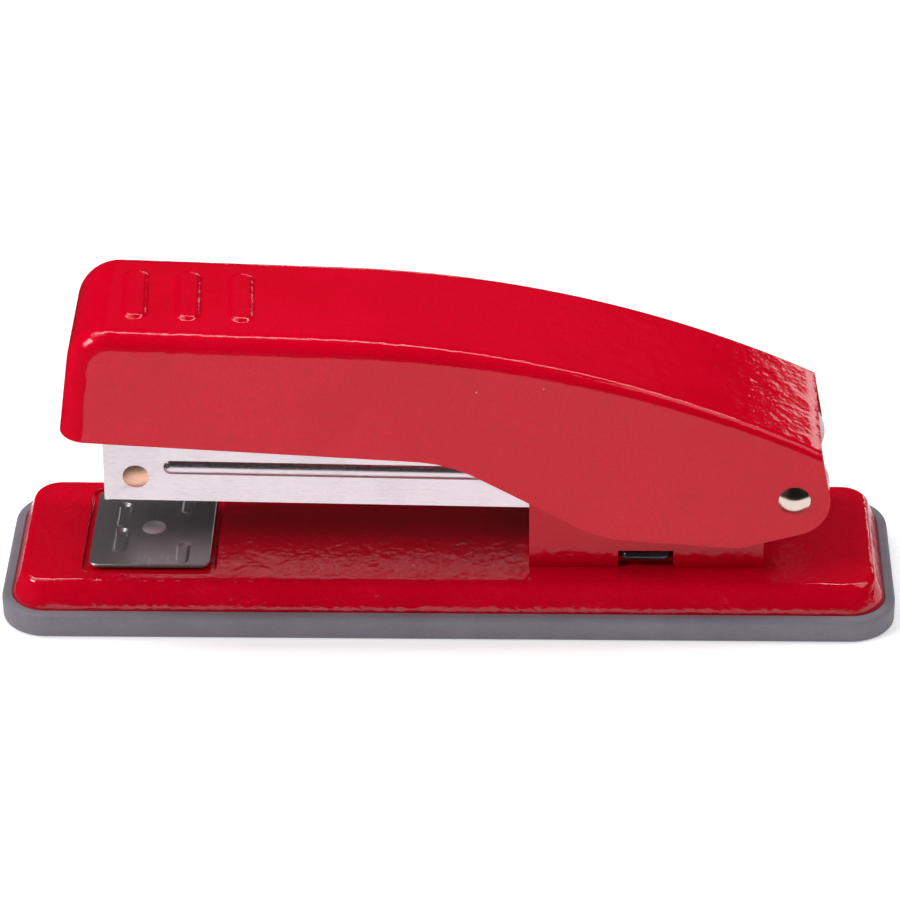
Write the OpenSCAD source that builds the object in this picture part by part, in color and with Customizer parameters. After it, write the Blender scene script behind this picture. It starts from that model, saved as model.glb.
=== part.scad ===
// Half-strip desk stapler: enamelled base and cover, plated magazine, turning anvil.
// Frame: X runs from the nose (-X) to the hinge end (+X), Z is up, and the origin is the
// middle of the underside of the rubber pad. Everything is drawn in the rest position.

/* [Layout] */
// hinge axis to driver slot
reach = 101.1; // [85:0.1:122]
// driver slot to front edge of the pad
nose_overhang = 17.1; // [16:0.1:24]
// hinge axis to rear edge of the pad
rear_overhang = 15.8; // [14:0.1:24]
// height of the hinge axis above the table
pivot_height = 21.9; // [20:0.1:24]
// nose-up pitch of the magazine at rest, degrees
rest_pitch = 0.9; // [0:0.1:2]

/* [Staple] */
// width of the staple crown
staple_crown = 12.7; // [10.6:0.1:15.3]
// leg length of a staple
staple_leg = 6.2; // [5.2:0.1:6.4]
// thickness of the staple wire
staple_wire = 0.5; // [0.4:0.05:0.6]
// length of the staples left in the strip
strip_length = 40; // [10:1:44]

/* [Pad and pan] */
// width of the rubber pad
pad_width = 33.8; // [31:0.1:42]
// height of the rubber pad
pad_height = 3.74; // [3:0.01:4.5]
// thickness of the pad's floor
pad_floor = 1.6; // [1.2:0.1:2.2]
// width of the lip round the pan
pad_lip = 1.62; // [1.2:0.01:2.2]
// rounding of the lip's outer edge
pad_edge_round = 0.7; // [0.3:0.1:1]
// corner radius of the pad in plan
pad_corner = 7.05; // [5.5:0.05:9]
// height of the pan's top above the table
pan_top = 8; // [7.4:0.1:9]
// sheet thickness of the pan
pan_sheet = 1; // [0.7:0.1:1.3]
// bend radius between the pan's top and sides
pan_bend = 1.9; // [1.5:0.1:2.4]
// inward draft of the pan's sides
pan_draft = 0.48; // [0.2:0.02:0.8]

/* [Anvil] */
// length of the anvil plate along X
anvil_length = 18.2; // [16:0.1:21]
// width of the anvil plate
anvil_width = 20.4; // [18:0.1:22]
// corner radius of the anvil plate
anvil_corner = 1.5; // [0.8:0.1:2.5]
// height of the anvil plate above the pan
anvil_rise = 0.45; // [0.4:0.01:0.7]
// anvil centre behind the driver slot
anvil_setback = 5.2; // [4.6:0.1:6]
// groove lines either side of the anvil's centre
groove_setback = 4.8; // [4.2:0.1:5.4]
// width of the grooves
groove_width = 2; // [1.4:0.1:2.4]
// depth of the grooves
groove_depth = 0.35; // [0.2:0.01:0.5]
// outward shift of the pinning grooves
pinning_shift = 2.8; // [2:0.1:3.4]
// depth of the pocket in the pan
pocket_depth = 0.6; // [0.4:0.05:0.8]
// pocket clearance round the anvil plate along X
pocket_gap = 0.9; // [0.6:0.1:1.2]
// pocket clearance round the anvil plate along Y
pocket_side_gap = 1.3; // [0.8:0.1:1.6]
// diameter of the anvil pin
anvil_pin_size = 3; // [2.4:0.1:3.6]
// diameter of the head of the anvil pin
anvil_head_size = 3.6; // [3.3:0.1:4.5]
// diameter of the push button
button_size = 13; // [11:0.1:14]
// thickness of the push button
button_thickness = 1.5; // [1:0.1:2]
// height of the button above the table
button_recess = 0.6; // [0.4:0.1:0.9]

/* [Bracket] */
// sheet thickness of the bracket
bracket_sheet = 1.2; // [1:0.1:1.5]
// front edge of the bracket ahead of the hinge
bracket_front = 39; // [34:0.5:44]
// rear edge of the bracket ahead of the hinge
bracket_rear = 4.1; // [3.5:0.1:6]
// height of the bracket's front edge above the pan
bracket_front_height = 12.5; // [11:0.1:14]
// radius of the bracket's ears round the pin
ear_radius = 4.6; // [4:0.1:5.2]
// window length in each wall
window_length = 8.2; // [7:0.1:9]
// window height in each wall
window_height = 3; // [2.5:0.1:3.5]
// rear end of the window ahead of the hinge
window_rear = 17.5; // [15:0.1:19]
// rivet shank diameter
rivet_size = 3; // [2.4:0.1:3.6]
// rivet head diameter
rivet_head_size = 5; // [4:0.1:6]
// rivet head height
rivet_head_height = 0.9; // [0.6:0.1:1.2]

/* [Hinge] */
// pin diameter
pin_size = 3; // [2.4:0.1:3.6]
// diameter of the domed heads
pin_head_size = 4.7; // [4.2:0.1:5.6]
// height of the domed heads
pin_head_height = 0.9; // [0.6:0.1:1.2]
// diameter of the spacer washers
washer_size = 7.4; // [6:0.1:8.4]

/* [Magazine] */
// sheet thickness of the channel
channel_sheet = 0.8; // [0.6:0.05:1]
// depth of the channel below the hinge axis
channel_drop = 4.9; // [4.9:0.05:5.2]
// height of the channel above the hinge axis
channel_rise = 7.1; // [6.5:0.1:7.4]
// tail radius round the hinge axis
tail_radius = 5.4; // [5.2:0.1:6]
// projection of the bead from the wall
bead_proud = 0.5; // [0.3:0.05:0.6]
// height of the bead
bead_height = 2.35; // [2:0.05:2.8]
// centre line of the bead above the hinge axis
bead_line = 0.92; // [0.5:0.02:1.4]
// front end of the bead behind the driver slot
bead_setback = 7.9; // [7:0.1:10]
// thickness of the nose plate
nose_sheet = 0.5; // [0.4:0.05:0.6]
// projection of the nose foot below the channel
nose_foot = 0.7; // [0.4:0.05:0.8]
// nose rivet head diameter
nose_rivet_size = 3.9; // [3.2:0.1:4.4]
// nose rivets behind the driver slot
nose_rivet_setback = 3.75; // [3.6:0.05:4.4]
// sheet thickness of the inner rail
rail_sheet = 0.8; // [0.6:0.05:0.9]
// half width of the slot in the rail
rail_slot = 1.2; // [1:0.05:1.5]
// length of the follower
follower_length = 12.5; // [10:0.1:13]
// travel of the follower
follower_travel = 20; // [14:1:20]
// guide rod diameter
rod_size = 1.6; // [1.2:0.1:2]
// mean diameter of the follower spring
follower_coil = 3.4; // [3:0.1:3.8]

/* [Cover] */
// sheet thickness of the cover
cover_sheet = 1.1; // [0.8:0.05:1.3]
// bend radius between roof and sides
cover_bend = 2.7; // [2:0.1:3.2]
// corner radius of the front wall at its lower edge
cover_corner = 4.2; // [3:0.1:5]
// radius of the front of the roof in side view
cover_nose = 6.3; // [5.6:0.1:7]
// driver slot to the centre of that radius
cover_nose_setback = 1.05; // [0.8:0.05:1.6]
// backward lean of the front wall, degrees
cover_lean = 8.1; // [5:0.1:11]
// radius of the long curve of the roof
roof_radius = 174; // [150:1:190]
// slope of the flat front part of the roof, degrees
roof_slope = 2; // [1:0.1:3]
// slope of the roof at its rear end, degrees
roof_end_slope = 26.5; // [24:0.1:28]
// rear end of the roof behind the hinge axis
roof_end = 3.1; // [2.6:0.1:3.6]
// height of the roof's rear end above the hinge axis
roof_end_rise = 8.35; // [8.2:0.05:9.5]
// front end of the step in the lower edge, ahead of the hinge
step_front = 50.9; // [46:0.1:54]
// height of the lower edge there, above the hinge axis
step_front_rise = 6.1; // [5.4:0.1:6.6]
// rear end of the step, ahead of the hinge
step_rear = 28.4; // [25:0.1:32]
// depth of the lower edge there, below the hinge axis
step_rear_drop = 6.95; // [6.2:0.05:7.4]
// rear end of the low edge, ahead of the hinge
skirt_rear = 7.9; // [7:0.1:9]
// depth of the lower edge there, below the hinge axis
skirt_rear_drop = 8.5; // [7.8:0.1:8.8]
// slope of the front lower edge, degrees
skirt_slope = 3.5; // [2.5:0.1:4.5]
// radius of the lobe round the pin
lobe_radius = 5.75; // [5.4:0.05:6]
// shift of the lobe's centre forward of the pin
lobe_shift = 0.5; // [0.2:0.05:0.7]
// shift of the lobe's centre below the pin
lobe_drop = 0.4; // [0.2:0.05:0.6]
// backward lean of the rear edge, degrees
rear_lean = 15.6; // [12:0.1:17]
// distance between grip ribs
grip_pitch = 7.75; // [6.6:0.05:9.3]
// first grip rib behind the driver slot
grip_setback = 5; // [4.4:0.1:6]
// width of a grip rib
grip_width = 3.9; // [3:0.1:4.6]
// length of a grip rib
grip_length = 14; // [11:0.1:16]
// height of a grip rib
grip_height = 0.6; // [0.4:0.05:0.8]

/* [Driver] */
// thickness of the driver blade
blade_thickness = 0.55; // [0.45:0.05:0.6]
// blade tip above the hinge axis at rest
blade_tip = 3; // [2.8:0.1:3.4]
// backward lean of the blade, degrees
blade_lean = 2.2; // [1.8:0.1:2.6]
// height of the driver saddle's plate above the hinge axis
saddle_rise = 20.2; // [19:0.1:21]
// length of the driver saddle
saddle_length = 24; // [20:0.5:28]
// height of the saddle's and bridge's side flanges
flange_height = 5; // [4:0.1:6]
// handle spring ahead of the hinge
spring_ahead = 18.2; // [17.6:0.1:19]
// handle spring mean diameter
handle_coil = 6.6; // [6.2:0.1:7]
// height of the spring bridge above the hinge axis
bridge_rise = 11.6; // [11:0.1:12]
// length of the spring bridge and its seat
bridge_length = 9; // [8:0.1:10]

/* [Clearances] */
// radial clearance of a turning fit
turn_gap = 0.05; // [0.03:0.01:0.08]
// staple leg to wall
staple_gap = 0.5; // [0.45:0.05:0.7]
// magazine to bracket ear
ear_gap = 0.4; // [0.3:0.05:0.6]
// bracket ear to cover
cover_gap = 1.65; // [1.4:0.05:2]
// spacer washer to cover
washer_gap = 0.2; // [0.1:0.05:0.3]
// staple to rail and follower to rail
rail_gap = 0.15; // [0.1:0.05:0.25]
// anvil plate above the pan while it turns
anvil_gap = 0.05; // [0.04:0.01:0.08]

/* [Hidden] */
$fn = 48;
eps = 0.02;
pad_length = nose_overhang + reach + rear_overhang;
pivot_x = pad_length / 2 - rear_overhang;
slot_x = pivot_x - reach;
anvil_x = slot_x + anvil_setback;
pivot = [pivot_x, 0, pivot_height];

pan_half_length = pad_length / 2 - pad_lip;
pan_half_width = pad_width / 2 - pad_lip;
pan_corner = pad_corner - pad_lip;

staple_half = staple_crown / 2;
channel_inner = staple_half + staple_gap;
channel_half = channel_inner + channel_sheet;
ear_inner = channel_half + ear_gap;
bracket_half = ear_inner + bracket_sheet;
cover_inner = bracket_half + cover_gap;
cover_half = cover_inner + cover_sheet;

bracket_floor = pan_top + bracket_sheet;
front_rivet_x = pivot_x - bracket_front + 5.5;
rear_rivet_x = pivot_x - bracket_rear - 5.5;
leaf = 0.6; // thickness of the lift spring

pocket_corner = 2;
pocket_half_length = anvil_length / 2 + pocket_gap;
pocket_half_width = anvil_width / 2 + pocket_side_gap;
pocket_floor = pan_top - pocket_depth;
anvil_top = pan_top + anvil_rise;
button_top = button_recess + button_thickness;

// magazine heights, measured from the hinge axis in the magazine's own pitch
channel_floor = channel_sheet - channel_drop;
staple_foot = channel_floor + rail_gap;
staple_top = staple_foot + staple_leg;
rail_top = staple_top - staple_wire - rail_gap;
rail_half = staple_half - staple_wire - 4 * rail_gap;
nose_front = -reach - 1;
nose_inner = nose_front + nose_sheet;
nose_top = staple_top + 1.2;
strip_front = nose_inner + 1.1;
rail_front = strip_front + staple_wire + rail_gap;
follower_front = strip_front + strip_length;
follower_tongue = follower_length - 4.5;
rod_line = (channel_floor + rail_top - rail_sheet) / 2;
stop_front = -12;
stop_rear = -8;
nose_rivet_line = -0.78;
nose_rivet_shank = 1;
wing = staple_gap - 0.1; // thickness of the nose plate's wings
wing_length = 6.6;

// roof line, in the XZ plane
function dir(a) = [cos(a), sin(a)];
roof_top_angle = 90 - roof_slope;
roof_end_angle = 90 - roof_end_slope;
wall_angle = 180 - cover_lean;
roof_end_point = [pivot_x + roof_end, pivot_height + roof_end_rise];
roof_centre = roof_end_point - roof_radius * dir(roof_end_angle);
roof_flat_start = roof_centre + roof_radius * dir(roof_top_angle);
nose_centre_x = slot_x + cover_nose_setback;
roof_flat_length = (roof_flat_start[0] - cover_nose * cos(roof_top_angle) - nose_centre_x) / sin(roof_top_angle);
nose_centre = roof_flat_start - cover_nose * dir(roof_top_angle) + roof_flat_length * dir(roof_top_angle + 90);
wall_length = cover_nose * 3;
roof_steps = 14;
nose_steps = 7;
ball_sides = 32;
blade_radius = reach - 0.15;
blade_top = saddle_rise - rail_gap;
saddle_rivets = [-reach + 10, -reach + 20];
saddle_plate = 1;
small_rivet = rivet_size - 0.6;
skirt_rounds = [21, 17, 5.5]; // radii of the lower edge at its three corners

enamel = [0.72, 0.02, 0.05];
steel = [0.8, 0.81, 0.83];
dark_steel = [0.28, 0.28, 0.3];
spring_black = [0.06, 0.06, 0.07];
copper = [0.85, 0.5, 0.38];
rubber = [0.45, 0.47, 0.5];

// ---- helpers ----

// places children in the magazine's pitch, origin on the hinge axis
module in_magazine() translate(pivot) rotate([0, rest_pitch, 0]) children();

// turns an XZ outline into a plate from y0 to y1
module plate_y(y0, y1) translate([0, y1, 0]) rotate([90, 0, 0]) linear_extrude(y1 - y0) children();

module cyl_y(r, y0, y1) plate_y(y0, y1) circle(r);

module round_rect(half_x, half_y, r) {
    square([2 * (half_x - r), 2 * half_y], center = true);
    square([2 * half_x, 2 * (half_y - r)], center = true);
    for (x = [-1, 1], y = [-1, 1]) translate([x * (half_x - r), y * (half_y - r)]) circle(r);
}

// half of the section of a stamped block, from a corner's centre outwards
module block_profile(corner, draft, bend, low, lip, top) {
    polygon([[0, low], [corner, low], [corner, lip], [corner - draft, top - bend],
             [corner - draft - bend, top], [0, top]]);
    translate([corner - draft - bend, top - bend]) circle(bend);
}

module block_section(centre, corner, draft, bend, low, lip, top) {
    for (m = [0, 1]) mirror([m, 0]) translate([centre, 0]) block_profile(corner, draft, bend, low, lip, top);
    translate([-centre, low]) square([2 * centre, top - low]);
}

// rounded block with drafted sides and a bend round its top
module block(half_x, half_y, corner, draft, bend, low, lip, top) {
    cx = half_x - corner;
    cy = half_y - corner;
    rotate([90, 0, 90]) linear_extrude(2 * cx, center = true) block_section(cy, corner, draft, bend, low, lip, top);
    rotate([90, 0, 0]) linear_extrude(2 * cy, center = true) block_section(cx, corner, draft, bend, low, lip, top);
    for (x = [-cx, cx], y = [-cy, cy])
        translate([x, y, 0]) rotate_extrude() intersection() {
            block_profile(corner, draft, bend, low, lip, top);
            translate([0, low]) square([corner, top - low]);
        }
}

module domed_head(r, h) {
    ball = (r * r + h * h) / (2 * h);
    intersection() {
        translate([0, 0, h - ball]) sphere(ball);
        cylinder(r = r, h = h);
    }
}

// rivet along Z: shank from z0 to z1, domed heads outside both
module rivet(size, head, head_height, z0, z1) {
    translate([0, 0, z0 - eps]) cylinder(d = size, h = z1 - z0 + 2 * eps);
    translate([0, 0, z1]) domed_head(head / 2, head_height);
    translate([0, 0, z0]) mirror([0, 0, 1]) domed_head(head / 2, head_height * 0.6);
}

// coil drawn as a stack of rings on a thin bar
module ring_coil(r, wire, height, rings) {
    step = (height - wire) / (rings - 1);
    for (i = [0:rings - 1]) translate([0, 0, wire / 2 + i * step])
        rotate_extrude() translate([r, 0]) circle(d = wire, $fn = 24);
    translate([r, 0, wire / 2]) cylinder(d = wire * 0.8, h = height - wire, $fn = 24);
}

// outline points of a round of radius r where the path a-b-c turns at b
function unit(v) = v / norm(v);
function turn(v) = v > 180 ? v - 360 : v < -180 ? v + 360 : v;
function round_at(a, b, c, r) =
    let (u = unit(a - b), v = unit(c - b), half = acos(u * v) / 2, k = b + unit(u + v) * r / sin(half),
         p = b + u * r / tan(half) - k, q = b + v * r / tan(half) - k, a0 = atan2(p[1], p[0]),
         sweep = turn(atan2(q[1], q[0]) - a0), n = 6)
    [for (i = [0:n]) k + r * dir(a0 + sweep * i / n)];

// ---- base ----

module rubber_pad() color(rubber) difference() {
    block(pad_length / 2, pad_width / 2, pad_corner, 0, pad_edge_round, 0, pad_floor, pad_height);
    translate([0, 0, pad_floor]) linear_extrude(pad_height) round_rect(pan_half_length, pan_half_width, pan_corner);
    translate([anvil_x, 0, -1]) cylinder(d = button_size + 1.6, h = pad_floor + 2);
}

module base_pan() color(enamel) difference() {
    union() {
        difference() {
            block(pan_half_length, pan_half_width, pan_corner, pan_draft, pan_bend, pad_floor, pad_height, pan_top);
            block(pan_half_length - pan_sheet, pan_half_width - pan_sheet, pan_corner - pan_sheet, pan_draft,
                  pan_bend - pan_sheet, pad_floor - 1, pad_height, pan_top - pan_sheet);
        }
        translate([anvil_x, 0, pocket_floor - pan_sheet]) linear_extrude(pocket_depth + pan_sheet / 2)
            round_rect(pocket_half_length + pan_sheet, pocket_half_width, pocket_corner);
    }
    translate([anvil_x, 0, pocket_floor]) linear_extrude(pocket_depth + 1)
        round_rect(pocket_half_length, pocket_half_width, pocket_corner);
    translate([anvil_x, 0, 0]) cylinder(r = anvil_pin_size / 2 + turn_gap, h = pan_top + 1);
    for (x = [front_rivet_x, rear_rivet_x]) translate([x, 0, pad_floor]) cylinder(d = rivet_size, h = pan_top);
}

// side outline of the bracket
module bracket_outline() {
    front = pivot_x - bracket_front;
    rear = pivot_x - bracket_rear;
    difference() {
        union() {
            polygon([[front, pan_top], [rear, pan_top], [rear, pivot_height - skirt_rear_drop + 0.8],
                     [pivot_x + ear_radius * sin(10), pivot_height - ear_radius * cos(10)],
                     [pivot_x, pivot_height + ear_radius], [rear - 8, pivot_height + ear_radius],
                     [front, pan_top + bracket_front_height]]);
            translate([pivot_x, pivot_height]) circle(ear_radius);
        }
        translate([pivot_x, pivot_height]) circle(d = pin_size);
        translate([pivot_x - window_rear - window_length, pan_top - 1]) square([window_length, window_height + 1]);
    }
}

module base_bracket() color(enamel) difference() {
    union() {
        for (s = [-1, 1]) plate_y(min(s * ear_inner, s * bracket_half), max(s * ear_inner, s * bracket_half))
            bracket_outline();
        translate([pivot_x - bracket_front, -ear_inner - eps, pan_top])
            cube([bracket_front - bracket_rear, 2 * (ear_inner + eps), bracket_sheet]);
    }
    for (x = [front_rivet_x, rear_rivet_x]) translate([x, 0, pad_floor]) cylinder(d = rivet_size, h = pan_top + 4);
}

module bracket_rivet_front() color(steel) translate([front_rivet_x, 0, 0])
    rivet(rivet_size, rivet_head_size, rivet_head_height, pan_top - pan_sheet, bracket_floor);

module bracket_rivet_rear() color(steel) translate([rear_rivet_x, 0, 0])
    rivet(rivet_size, rivet_head_size, rivet_head_height, pan_top - pan_sheet, bracket_floor + leaf);

module pivot_pin() color(steel) translate(pivot) {
    half = cover_half + turn_gap;
    cyl_y(pin_size / 2, -half - eps, half + eps);
    for (m = [0, 1]) mirror([0, m, 0]) translate([0, half, 0]) rotate([-90, 0, 0])
        domed_head(pin_head_size / 2, pin_head_height);
}

module washer() difference() {
    cyl_y(washer_size / 2, bracket_half, cover_inner - washer_gap);
    cyl_y(pin_size / 2, bracket_half - 1, cover_inner + 1);
}

module pivot_washer_left() color(steel) translate(pivot) mirror([0, 1, 0]) washer();

module pivot_washer_right() color(steel) translate(pivot) washer();

// leaf on the bracket's floor, its front end risen to the magazine's underside
module lift_spring() color(spring_black) {
    tab_length = window_length - 1;
    tab_x = pivot_x - window_rear - window_length + 0.5;
    tip_x = pivot_x - bracket_front + 3;
    tip_z = pivot_height - channel_drop * cos(rest_pitch) + (pivot_x - tip_x) * sin(rest_pitch) - 0.15;
    heel_x = tab_x + 5;
    leaf_half = ear_inner - 1.4;
    difference() {
        plate_y(-leaf_half, leaf_half) {
            polygon([[tab_x + 2, bracket_floor], [rear_rivet_x + 4, bracket_floor],
                     [rear_rivet_x + 4, bracket_floor + leaf], [tab_x + 2, bracket_floor + leaf]]);
            polygon([[heel_x, bracket_floor + leaf], [heel_x - leaf * 2, bracket_floor], [tip_x, tip_z - leaf],
                     [tip_x - 1.5, tip_z - leaf - 0.3], [tip_x - 1.5, tip_z - 0.3], [tip_x, tip_z]]);
        }
        translate([rear_rivet_x, 0, pan_top]) cylinder(d = rivet_size, h = 4);
    }
    difference() {
        translate([tab_x, -bracket_half + 0.3, bracket_floor + 0.2])
            cube([tab_length, 2 * (bracket_half - 0.3), window_height - bracket_sheet - 0.4]);
        translate([tab_x - 1, -ear_inner + 2, bracket_floor]) cube([tab_length + 2, 2 * (ear_inner - 2), window_height]);
    }
    translate([tab_x, -ear_inner + 0.3, bracket_floor]) cube([tab_length, 2 * (ear_inner - 0.3), leaf]);
}

module anvil_spring() color(steel) translate([anvil_x, 0, button_top])
    ring_coil(4, 0.6, pocket_floor - pan_sheet - button_top, 4);

// ---- anvil ----

module anvil_button() color(dark_steel) difference() {
    translate([anvil_x, 0, button_recess]) cylinder(d = button_size, h = button_thickness);
    translate([anvil_x, 0, 0]) cylinder(r = anvil_pin_size / 2 + turn_gap, h = pan_top);
    translate([anvil_x, 0, 0]) cylinder(d = anvil_pin_size + 2.4, h = button_recess + 0.6);
}

module groove(x, y0, y1) {
    for (m = [0, 1]) mirror([0, m, 0]) translate([x, 0, anvil_rise - groove_depth]) linear_extrude(groove_depth + 1) {
        translate([-groove_width / 2, y0 + groove_width / 2]) square([groove_width, y1 - y0 - groove_width]);
        for (y = [y0 + groove_width / 2, y1 - groove_width / 2]) translate([0, y]) circle(d = groove_width);
    }
}

module anvil_plate() color(dark_steel) translate([anvil_x, 0, pan_top]) difference() {
    union() {
        translate([0, 0, anvil_gap]) linear_extrude(anvil_rise - anvil_gap)
            round_rect(anvil_length / 2, anvil_width / 2, anvil_corner);
        translate([0, 0, anvil_gap - pocket_depth]) cylinder(d = anvil_length - 0.1, h = pocket_depth + eps);
    }
    groove(-groove_setback, 0.25, staple_half + 0.3);
    groove(groove_setback, 0.25 + pinning_shift + 1, staple_half + pinning_shift + 0.3);
    translate([0, 0, -pan_top]) cylinder(d = anvil_pin_size, h = pan_top * 2);
}

module anvil_pin() color(dark_steel) translate([anvil_x, 0, 0]) {
    translate([0, 0, button_recess]) cylinder(d = anvil_pin_size, h = anvil_top - button_recess + eps);
    translate([0, 0, button_recess]) cylinder(d = anvil_pin_size + 2, h = 0.5);
    translate([0, 0, anvil_top]) domed_head(anvil_head_size / 2, 0.25);
}

// ---- magazine ----

// side outline of the channel's walls
module wall_outline() {
    difference() {
        union() {
            translate([nose_front, -channel_drop])
                square([-nose_front - 9, channel_drop + channel_rise]);
            polygon([[-9 - eps, -channel_drop], [0, -channel_drop], [0, tail_radius], [-4, tail_radius + 0.6],
                     [-9 - eps, channel_rise]]);
            intersection() {
                circle(tail_radius);
                translate([-1, -channel_drop]) square([tail_radius + 2, channel_drop + tail_radius]);
            }
        }
        circle(pin_size / 2 + turn_gap);
    }
}

// bead along the outside of one wall, r is its radius
module bead(r) {
    ball = (bead_height * bead_height / 4 + bead_proud * bead_proud) / (2 * bead_proud);
    x0 = -reach + bead_setback + bead_height / 2;
    x1 = -bracket_front - 3.2;
    translate([0, channel_half + bead_proud - ball, bead_line]) {
        translate([x0, 0, 0]) rotate([0, 90, 0]) cylinder(r = ball - r, h = x1 - x0);
        for (x = [x0, x1]) translate([x, 0, 0]) sphere(ball - r);
    }
}

module magazine_channel() color(steel) in_magazine() {
    difference() {
        union() {
            for (m = [0, 1]) mirror([0, m, 0]) {
                plate_y(channel_inner, channel_half) wall_outline();
                intersection() {
                    bead(0);
                    translate([-reach, channel_half - eps, -2]) cube([reach, 2, 6]);
                }
            }
            translate([nose_front + nose_sheet, -channel_inner - eps, -channel_drop])
                cube([-nose_front - nose_sheet - 8, 2 * (channel_inner + eps), channel_sheet]);
        }
        // groove behind each bead
        for (m = [0, 1]) mirror([0, m, 0]) intersection() {
            bead(0.75);
            translate([-reach, channel_inner - 1, -2]) cube([reach, 2, 6]);
        }
        // way out of the driven staple
        translate([nose_inner, -channel_inner + eps, -channel_drop - 1])
            cube([rail_front - nose_inner, 2 * (channel_inner - eps), channel_sheet + 2]);
        for (m = [0, 1]) mirror([0, m, 0]) translate([nose_rivet_setback - reach, 0, nose_rivet_line])
            cyl_y(nose_rivet_shank, channel_inner - 1, channel_half + 1);
    }
}

module nose_plate() color(steel) in_magazine() difference() {
    union() {
        translate([nose_front, -channel_inner, -channel_drop]) cube([nose_sheet, 2 * channel_inner, channel_drop + nose_top]);
        translate([nose_front, -channel_inner, -channel_drop - nose_foot])
            cube([nose_sheet + 0.2, 2 * channel_inner, nose_foot + eps]);
        for (m = [0, 1]) mirror([0, m, 0]) translate([nose_front, channel_inner - wing, channel_floor])
            cube([wing_length, wing, nose_top - channel_floor]);
    }
    for (m = [0, 1]) mirror([0, m, 0]) translate([nose_rivet_setback - reach, 0, nose_rivet_line])
        cyl_y(nose_rivet_shank, channel_inner - 1, channel_half + 1);
}

module nose_rivet() in_magazine() translate([nose_rivet_setback - reach, 0, nose_rivet_line]) {
    cyl_y(nose_rivet_shank, channel_inner - wing, channel_half + eps);
    translate([0, channel_half, 0]) rotate([-90, 0, 0]) domed_head(nose_rivet_size / 2, 0.4);
}

module nose_rivet_left() color(copper) mirror([0, 1, 0]) nose_rivet();

module nose_rivet_right() color(copper) nose_rivet();

module inner_rail() color(steel) in_magazine() difference() {
    translate([rail_front, -rail_half, channel_floor]) cube([stop_rear - rail_front, 2 * rail_half, rail_top - channel_floor]);
    translate([rail_front - 1, -rail_half + rail_sheet, channel_floor - 1])
        cube([stop_rear - rail_front + 2, 2 * (rail_half - rail_sheet), rail_top - channel_floor + 1 - rail_sheet]);
    translate([follower_front - 1.5, -rail_slot, rail_top - rail_sheet - 1])
        cube([follower_tongue + follower_travel + 3, 2 * rail_slot, rail_sheet + 2]);
}

module staple_strip() color(steel) in_magazine() translate([strip_front, 0, 0]) difference() {
    translate([0, -staple_half, staple_foot]) cube([strip_length, staple_crown, staple_leg]);
    translate([-1, -staple_half + staple_wire, staple_foot - 1])
        cube([strip_length + 2, staple_crown - 2 * staple_wire, staple_leg - staple_wire + 1]);
}

module guide_rod() color(steel) in_magazine() translate([follower_front - 2, 0, rod_line]) rotate([0, 90, 0])
    cylinder(d = rod_size, h = stop_rear - follower_front + 2);

module rear_stop() color(dark_steel) in_magazine() difference() {
    translate([stop_front, -rail_half + rail_sheet, channel_floor])
        cube([stop_rear - stop_front, 2 * (rail_half - rail_sheet), rail_top - rail_sheet - channel_floor]);
    translate([stop_front - 1, 0, rod_line]) rotate([0, 90, 0]) cylinder(d = rod_size, h = 6);
}

module follower_spring() color(steel) in_magazine()
    translate([follower_front + follower_tongue, 0, rod_line]) rotate([0, 90, 0])
        ring_coil(follower_coil / 2, 0.4, stop_front - follower_front - follower_tongue, 16);

module spring_seat() color(steel) in_magazine() {
    translate([-spring_ahead - bridge_length / 2, -channel_inner, rail_top])
        cube([bridge_length, 2 * channel_inner, rail_sheet]);
    translate([-spring_ahead, 0, rail_top + rail_sheet - eps]) cylinder(d = handle_coil - 1.2, h = 1);
}

module handle_spring() color(steel) {
    low = pivot_height + (rail_top + rail_sheet) * cos(rest_pitch) + (spring_ahead + 4) * sin(rest_pitch) + 0.1;
    translate([pivot_x - spring_ahead, 0, low])
        ring_coil(handle_coil / 2, 0.7, pivot_height + bridge_rise - low, 6);
}

// ---- follower ----

module follower() color(spring_black) in_magazine() translate([follower_front, 0, 0]) {
    leg_in = rail_half + rail_gap;
    difference() {
        translate([0, -staple_half, staple_foot]) cube([follower_length, staple_crown, staple_leg + 0.3]);
        translate([-1, -leg_in, staple_foot - 1]) cube([follower_length + 2, 2 * leg_in, rail_top + rail_gap + 1 - staple_foot]);
    }
    difference() {
        union() {
            translate([0, -rail_slot + 0.3, rail_top - rail_sheet - 0.8])
                cube([follower_tongue, 2 * (rail_slot - 0.3), rail_sheet + 0.8 + rail_gap + eps]);
            translate([0, -rail_half + rail_sheet + 1, rod_line - 1.9])
                cube([follower_tongue, 2 * (rail_half - rail_sheet - 1), rail_top - rail_sheet - 0.3 - rod_line + 1.9]);
        }
        translate([-1, 0, rod_line]) rotate([0, 90, 0]) cylinder(r = rod_size / 2 + turn_gap, h = follower_length);
    }
}

// ---- handle ----

// centres of the balls that the pressed shape is stretched over: [x, z, radius]
function ball(centre, r, angle, bend) = concat(centre + (r - bend) * dir(angle), [bend]);
function skin_balls() = concat(
    [for (i = [0:roof_steps]) ball(roof_centre, roof_radius,
        roof_end_angle - 4 + (roof_top_angle - roof_end_angle + 4) * i / roof_steps, cover_bend)],
    [for (i = [0:nose_steps]) ball(nose_centre, cover_nose,
        roof_top_angle + (wall_angle - roof_top_angle) * i / nose_steps, cover_bend)],
    [ball(nose_centre + wall_length * dir(wall_angle + 90), cover_nose, wall_angle, cover_corner),
     [slot_x + 5, 0, cover_bend], [pivot_x + 14, 0, cover_bend]]);

// solid pressed shape, drawn in by an inset
module skin(inset) hull() for (b = skin_balls(), s = [-1, 1])
    translate([b[0], s * (cover_half - b[2]), b[1]]) sphere((b[2] - inset) / cos(180 / ball_sides), $fn = ball_sides);

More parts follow.
